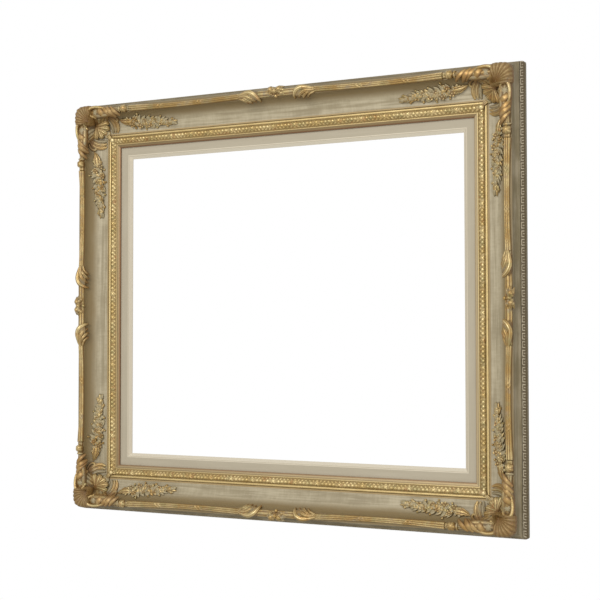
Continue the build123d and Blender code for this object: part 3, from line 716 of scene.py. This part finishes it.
# Dark and pale grain of the bare wood behind the frame.
WOOD = (tint(150, 116, 74), tint(196, 162, 112))
LINER_WOOD = (tint(160, 128, 86), tint(204, 174, 126))

# Heights from the wall between which a finish gives way to the one behind it.
EDGE_BAND = (18.4, 16.6)
RAIL_BACK = (11.4, 9.6)
SLIP_BACK = (14.0, 12.5)
LINER_BACK = (11.6, 10.9)

# Distances from the sight edge between which the painted shade under the crest comes into the upper cove, and
# that of the line at the top of the liner's bevel.
CREST_SHADE = (58, 70)
BEVEL_LINE = 4.9


class Value:
    """A value in a material: arithmetic with it adds Math nodes."""

    def __init__(self, finish, socket):
        self.finish = finish
        self.socket = socket

    def combine(self, operation, first, second):
        return self.finish.node("ShaderNodeMath", {"operation": operation}, {0: first, 1: second})

    def __add__(self, other):
        return self.combine("ADD", self, other)

    def __sub__(self, other):
        return self.combine("SUBTRACT", self, other)

    def __rsub__(self, other):
        return self.combine("SUBTRACT", other, self)

    def __mul__(self, other):
        return self.combine("MULTIPLY", self, other)

    def __abs__(self):
        return self.combine("ABSOLUTE", self, 0.0)

    __radd__ = __add__


class Finish:
    """A material while it is made: `node` adds any node and gives back one of its outputs."""

    def __init__(self, name):
        self.material = bpy.data.materials.new(name)
        self.material.use_nodes = True
        self.tree = self.material.node_tree
        self.tree.nodes.clear()
        self.shader = self.tree.nodes.new("ShaderNodeBsdfPrincipled")
        output = self.tree.nodes.new("ShaderNodeOutputMaterial")
        self.tree.links.new(self.shader.outputs[0], output.inputs[0])

    def feed(self, node, sockets):
        """Link values to the sockets of a node, and write constants on them."""
        for key, value in sockets.items():
            if isinstance(value, Value):
                self.tree.links.new(value.socket, node.inputs[key])
            else:
                node.inputs[key].default_value = value

    def node(self, kind, settings=None, sockets=None, output=0):
        added = self.tree.nodes.new(kind)
        for key, value in (settings or {}).items():
            setattr(added, key, value)
        self.feed(added, sockets or {})
        return Value(self, added.outputs[output])

    def surface(self, **sockets):
        """Feed the shader, whose sockets are named in lower case here, and give back the material."""
        self.feed(self.shader, {key.replace("_", " ").title(): value for key, value in sockets.items()})
        return self.material

    def place(self):
        return self.node("ShaderNodeTexCoord", output=3)

    def axis(self, index):
        return self.node("ShaderNodeSeparateXYZ", None, {0: self.place()}, index)

    def attribute(self, name):
        return self.node("ShaderNodeAttribute", {"attribute_name": name}, output=2)

    def noise(self, scale, stretch=(1, 1, 1), detail=3.0, rough=0.55):
        """Cloudy pattern; a stretch below 1 draws it out along that axis."""
        spot = self.node("ShaderNodeVectorMath", {"operation": "MULTIPLY"}, {0: self.place(), 1: stretch})
        return self.node("ShaderNodeTexNoise", None,
                         {"Vector": spot, "Scale": scale, "Detail": detail, "Roughness": rough})

    def ramp(self, value, low, high):
        """0 up to low, 1 from high on; falling instead of rising when low is the larger."""
        return self.node("ShaderNodeMapRange", {"interpolation_type": "SMOOTHSTEP"},
                         {"Value": value, "From Min": low, "From Max": high})

    def mix(self, share, first, second):
        return self.node("ShaderNodeMix", {"data_type": "RGBA"}, {0: share, 6: first, 7: second}, 2)

    def bump(self, height, strength, depth):
        return self.node("ShaderNodeBump", None, {"Strength": strength, "Distance": depth, "Height": height})


def carved_gilding(name, crevice, dull, bright):
    """Worn gold leaf on cast ornament: dark in the crevices, partly as grime and partly as painted shade, a
    painted highlight on the brightest ridges, red clay where it is rubbed, paint on leaves.
    """
    finish = Finish(name)
    tone = finish.attribute("tone")
    paint = finish.attribute("paint")
    cloud = finish.noise(110)
    drift = finish.noise(30)
    grain = finish.noise(420, detail=2.0)
    ridge = finish.ramp(tone + (grain - 0.5) * 0.5, 0.1, 0.85)
    gold = finish.mix(finish.ramp(drift, 0.38, 0.62), dull, bright)
    gold = finish.mix(finish.ramp(finish.noise(75), 0.48, 0.66) * 0.6, gold, tint(148, 138, 92))
    gold = finish.mix(finish.ramp(paint + (cloud - 0.5), -0.2, -0.9) * 0.7, gold, tint(168, 122, 60))
    # Painted highlight: where the tone passes 1 the gold turns pale.
    gold = finish.mix(finish.ramp(tone, 1.0, 1.5) * 0.8, gold, tint(226, 206, 154))
    # Crevices, hollows and undersides take the dark colour: partly grime, partly painted shade.
    colour = finish.mix(ridge, crevice, gold)
    rubbed = finish.ramp(cloud + (grain - 0.5) * 0.5, 0.56, 0.72)
    colour = finish.mix(rubbed * 0.5, colour, tint(152, 98, 50))
    painted = finish.ramp(paint + (cloud - 0.5) * 1.5, 0.3, 0.75)
    leaf_paint = finish.mix(ridge, tint(88, 72, 42), tint(166, 154, 121))
    colour = finish.mix(painted * 0.85, colour, leaf_paint)
    shine = ridge * (1 - painted * 0.8)
    return finish.surface(
        base_color=colour,
        metallic=shine * 0.5,
        roughness=0.58 - shine * 0.24 + (grain - 0.5) * 0.2,
        normal=finish.bump(grain, 0.35, 0.0006),
    )


def side_distance(finish, upright):
    """Distance outwards from the sight edge in millimetres, on the upright or the level sides."""
    if upright:
        return (abs(finish.axis(0)) - SIGHT_X * MM) * (1 / MM)
    return (abs(finish.axis(2)) - SIGHT_Z * MM) * (1 / MM)


def wall_distance(finish):
    """Distance forwards from the wall in millimetres."""
    return finish.axis(1) * (-1 / MM)


def drawn_out(upright, share):
    """Stretch that draws a pattern out along the upright or the level sides."""
    return (1, 1, share) if upright else (share, 1, 1)


def rail_paint(name, upright, hollow_dark, hollow_pale):
    """Aged cream paint in the cove, with painted shade under the crest, and grey-green outside, streaked
    along the rail; bare wood behind.
    """
    finish = Finish(name)
    u = side_distance(finish, upright)
    t = wall_distance(finish)
    streak = finish.noise(260, drawn_out(upright, 0.04), 4.0, 0.6)
    cloud = finish.noise(24)
    grain = finish.noise(700, detail=2.0)
    across = finish.noise(320, drawn_out(not upright, 0.08), 2.0)
    brushed = finish.ramp(streak + (cloud - 0.5) * 0.6 + (across - 0.5) * 0.2, 0.3, 0.75)
    cream = finish.mix(brushed, tint(148, 135, 106), tint(186, 174, 145))
    # Painted shade: the upper cove darkens towards the crest.
    crest_shade = finish.ramp(u + (streak - 0.5) * 10 + (cloud - 0.5) * 8, *CREST_SHADE)
    colour = finish.mix(crest_shade, cream, tint(130, 111, 74))
    gilt = finish.ramp(abs(u - (U_RAIL + 0.9)), 1.5, 0.9)
    colour = finish.mix(gilt * 0.7, colour, tint(168, 138, 84))
    hollow = finish.ramp(u + (cloud - 0.5) * 2, U_HOLLOW - 1.4, U_HOLLOW + 0.6)
    green = finish.mix(finish.ramp(streak + (cloud - 0.5), 0.3, 0.8), hollow_dark, hollow_pale)
    colour = finish.mix(hollow, colour, green)
    edge_paint = finish.mix(cloud, tint(92, 80, 52), tint(122, 108, 76))
    colour = finish.mix(finish.ramp(t, *EDGE_BAND), colour, edge_paint)
    wood = finish.mix(streak, *WOOD)
    colour = finish.mix(finish.ramp(t + (cloud - 0.5) * 3, *RAIL_BACK), colour, wood)
    return finish.surface(
        base_color=colour,
        roughness=0.58 + (cloud - 0.5) * 0.24,
        normal=finish.bump(streak + grain * 0.3, 0.3, 0.0005),
    )


def slip_gilding(name, upright):
    """Gilt slip: bronze lip with a red line by the liner, dark quirks and a bright bead; bare wood behind.

    The lip is painted paler on the right and the lower side, as painted light, and its quirks are darkened as
    painted shade.
    """
    finish = Finish(name)
    u = side_distance(finish, upright)
    t = wall_distance(finish)
    streak = finish.noise(200, drawn_out(upright, 0.1))
    cloud = finish.noise(45)
    grain = finish.noise(500, detail=2.0)
    patches = finish.ramp(cloud + (grain - 0.5) * 0.6, 0.35, 0.7)
    gold = finish.mix(patches, tint(190, 168, 114), tint(156, 126, 74))
    # Painted light: the lip turns paler on the right and the lower side.
    lit_way = finish.axis(0) if upright else finish.axis(2) * -1
    lit_side = finish.ramp(lit_way, -0.05, 0.05) * (0.6 if upright else 0.24)
    lip = finish.mix(streak, tint(116, 96, 64), tint(148, 127, 90))
    lip = finish.mix(lit_side, lip, tint(206, 187, 146))
    colour = finish.mix(finish.ramp(u, U_LIP + 5.4, U_LIP + 6.4), lip, gold)
    bright = finish.mix(cloud, tint(212, 190, 135), tint(178, 151, 97))
    colour = finish.mix(finish.ramp(u, U_RAIL - 5.2, U_RAIL - 4.6), colour, bright)
    fillet = finish.ramp(abs(u - (U_LIP + 6.0)), 0.9, 0.4)
    colour = finish.mix(fillet * 0.6, colour, tint(198, 176, 122))
    crease = finish.ramp(abs(u - (U_LIP + 4.2)), 0.9, 0.3)
    colour = finish.mix(crease * 0.5, colour, tint(98, 78, 48))
    red_line = finish.ramp(abs(u - (U_LIP + 0.6)), 1.5, 0.6)
    colour = finish.mix(red_line * (1 - lit_side) * 0.65, colour, tint(120, 79, 52))
    # Painted shade: dark lines in the quirks beside the bead.
    quirks = finish.ramp(abs(abs(u - (U_RAIL - 2.5)) - 2.4), 0.75, 0.25)
    colour = finish.mix(quirks * 0.45, colour, tint(110, 90, 52))
    back = finish.ramp(t, *SLIP_BACK)
    colour = finish.mix(back, colour, finish.mix(streak, *WOOD))
    return finish.surface(
        base_color=colour,
        metallic=(1 - back) * 0.55,
        roughness=0.46 + (cloud - 0.5) * 0.2,
        normal=finish.bump(grain + streak, 0.2, 0.0004),
    )


def liner_paint(name, upright, bevel):
    """Matt painted liner, paler on its bevel, with faint brushing along it; bare wood behind."""
    finish = Finish(name)
    u = side_distance(finish, upright)
    t = wall_distance(finish)
    streak = finish.noise(320, drawn_out(upright, 0.05))
    cloud = finish.noise(14)
    flat = finish.mix(streak * 0.6 + cloud * 0.4, tint(166, 155, 132), tint(188, 178, 156))
    colour = finish.mix(finish.ramp(u, 6.6, 5.8), flat, bevel)
    bevel_line = finish.ramp(abs(u - BEVEL_LINE), 0.5, 0.2)
    colour = finish.mix(bevel_line * 0.6, colour, tint(158, 142, 108))
    colour = finish.mix(finish.ramp(t, *LINER_BACK), colour, finish.mix(streak, *LINER_WOOD))
    return finish.surface(base_color=colour, roughness=0.72 + (cloud - 0.5) * 0.1,
                          normal=finish.bump(streak, 0.15, 0.0003))


def fret_paint(name):
    """Dark grey-green paint on the fret strips, rubbed back to a paler ground on the raised lines."""
    finish = Finish(name)
    tone = finish.attribute("tone")
    cloud = finish.noise(60)
    grain = finish.noise(500, detail=2.0)
    line = finish.ramp(tone + (cloud - 0.5) * 0.7 + (grain - 0.5) * 0.3, 0.35, 0.9)
    colour = finish.mix(line, tint(104, 88, 57), tint(214, 200, 170))
    return finish.surface(base_color=colour, roughness=0.62 + (grain - 0.5) * 0.2, metallic=line * 0.15,
                          normal=finish.bump(grain, 0.25, 0.0004))


def plated_metal(name, pale, dull):
    """Plated hardware: fine brushing, with duller patches where hands and weather have been."""
    finish = Finish(name)
    brushing = finish.noise(900, (1, 1, 0.1), 2.0)
    patch = finish.noise(160)
    colour = finish.mix(finish.ramp(patch, 0.4, 0.7), pale, dull)
    return finish.surface(base_color=colour, metallic=1.0, roughness=0.3 + patch * 0.25,
                          normal=finish.bump(brushing, 0.12, 0.0002))


def dress(node, material):
    """Give a CAD node that stays its finish."""
    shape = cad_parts[node].data
    shape.materials.clear()
    shape.materials.append(material)


def dress_frame():
    """Finishes of the mouldings and the hardware that stay as the CAD has them."""
    zinc = plated_metal("zinc_plate", tint(186, 186, 188), tint(140, 140, 142))
    brass = plated_metal("brass_plate", tint(206, 176, 112), tint(160, 126, 70))
    # Painted shade: the level sides get a darker outer hollow and the upright sides a darker bevel.
    moulding_paints = {
        "level": (("top", "bottom"), (tint(112, 99, 71), tint(150, 138, 110)), tint(219, 209, 187)),
        "upright": (("left", "right"), (tint(117, 104, 73), tint(156, 143, 116)), tint(209, 198, 176)),
    }
    for way, (sides, hollow, bevel) in moulding_paints.items():
        upright = way == "upright"
        paints = {
            "rail": rail_paint("rail_paint_" + way, upright, *hollow),
            "slip": slip_gilding("slip_gilding_" + way, upright),
            "liner": liner_paint("liner_paint_" + way, upright, bevel),
        }
        for side in sides:
            for part, paint in paints.items():
                dress(f"{side}_{part}", paint)
    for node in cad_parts:
        if node.endswith("screws") or node.endswith("nails"):
            dress(node, zinc)
        elif node.startswith("turn_button") or node.startswith("hanger"):
            dress(node, brass)


def set_ornaments():
    """Every carved ornament in the place of its CAD node."""
    gilding = carved_gilding("carved_gilding", tint(118, 86, 40), tint(160, 129, 72), tint(188, 165, 114))
    # Painted light: a paler copy of the gilding for the running ornament of the slip.
    pearl_highlit_gilding = carved_gilding("pearl_highlit_gilding", tint(134, 108, 60), tint(184, 157, 98),
                                   tint(208, 186, 132))
    fret = fret_paint("fret_paint")
    cartouche = corner_cartouche()
    for corner, signs in CORNERS.items():
        set_piece("corner_" + corner, cartouche, at_corner(*signs), gilding)
    centre = centre_ornament()
    blooms = spray(seed=7)
    for side, half in HALVES.items():
        place = on_side(side)
        set_piece("centre_" + side, centre, place, gilding)
        set_piece(side + "_sight_ornament", sight_ornament(half), place, pearl_highlit_gilding)
        set_piece(side + "_fret", fret_strip(half), place, fret)
        reach = half + U_CREST - CORNER_REACH - CENTRE_REACH
        bands = [CENTRE_REACH + share * reach + step for share in (0.36, 0.72) for step in (-3, 3)]
        sweep = reeded_sweep(half, bands)
        for end, hand in HANDS[side].items():
            def other_hand(points, hand=hand):
                return place(points * (hand, 1, 1))

            def from_corner(points, hand=hand):
                s = hand * (half + SPRAY_START - points[..., :1])
                return place(np.concatenate([s, points[..., 1:]], -1))

            set_piece(f"sweep_{side}_{end}", sweep, other_hand, gilding)
            set_piece(f"spray_{side}_{end}", blooms, from_corner, gilding)


def area_lamp(name, place, size, power):
    """Square soft lamp at a place, turned to the middle of the frame."""
    lamp = bpy.data.lights.new(name, "AREA")
    lamp.size = size
    lamp.energy = power
    holder = bpy.data.objects.new(name, lamp)
    bpy.context.scene.collection.objects.link(holder)
    x, y, z = place
    holder.location = place
    holder.rotation_euler = (math.atan2(math.hypot(x, y), z), 0, math.atan2(x, -y))


def light_studio():
    """Soft lamps, a pale floor well below the hung frame, and a world that looks white."""
    room_light = 0.42
    floor_half = 1.5
    floor_z = -0.95
    area_lamp("key_lamp", place=(-0.1, -2.5, 0.95), size=1.6, power=41.5)
    area_lamp("fill_lamp", place=(2.2, -1.7, -0.3), size=1.4, power=13)
    world = bpy.data.worlds.new("white_room")
    world.use_nodes = True
    tree = world.node_tree
    shade = tree.nodes["Background"]
    ray = tree.nodes.new("ShaderNodeLightPath")
    seen = tree.nodes.new("ShaderNodeMath")
    seen.operation = "MAXIMUM"
    tree.links.new(ray.outputs["Is Camera Ray"], seen.inputs[0])
    tree.links.new(ray.outputs["Is Glossy Ray"], seen.inputs[1])
    strength = tree.nodes.new("ShaderNodeMapRange")
    strength.inputs["To Min"].default_value = room_light
    tree.links.new(seen.outputs[0], strength.inputs["Value"])
    shade.inputs["Color"].default_value = (1, 1, 1, 1)
    tree.links.new(strength.outputs[0], shade.inputs["Strength"])
    bpy.context.scene.world = world
    floor_mesh = bpy.data.meshes.new("floor")
    corners = [(x * floor_half, y * floor_half, floor_z) for x, y in ((-1, -1), (1, -1), (1, 1), (-1, 1))]
    floor_mesh.from_pydata(corners, [], [(0, 1, 2, 3)])
    floor = bpy.data.objects.new("floor", floor_mesh)
    bpy.context.scene.collection.objects.link(floor)
    pale = Finish("pale_floor")
    speck = pale.noise(30)
    floor_mesh.materials.append(
        pale.surface(base_color=pale.mix(speck, tint(228, 228, 226), tint(236, 236, 234)), roughness=0.8))


def set_camera():
    """Camera where the photo was taken: to the right, a little below the middle, turned to the frame."""
    lens = bpy.data.cameras.new("camera")
    lens.lens = 80.14
    lens.shift_x = 0.00373
    lens.shift_y = -0.01032
    camera = bpy.data.objects.new("camera", lens)
    bpy.context.scene.collection.objects.link(camera)
    camera.location = (1.0042, -1.8312, -0.0632)
    camera.rotation_euler = (math.radians(92.131), math.radians(0.062), math.radians(28.464))
    bpy.context.scene.camera = camera


dress_frame()
set_ornaments()
light_studio()
set_camera()
bpy.context.scene.view_settings.view_transform = "Standard"
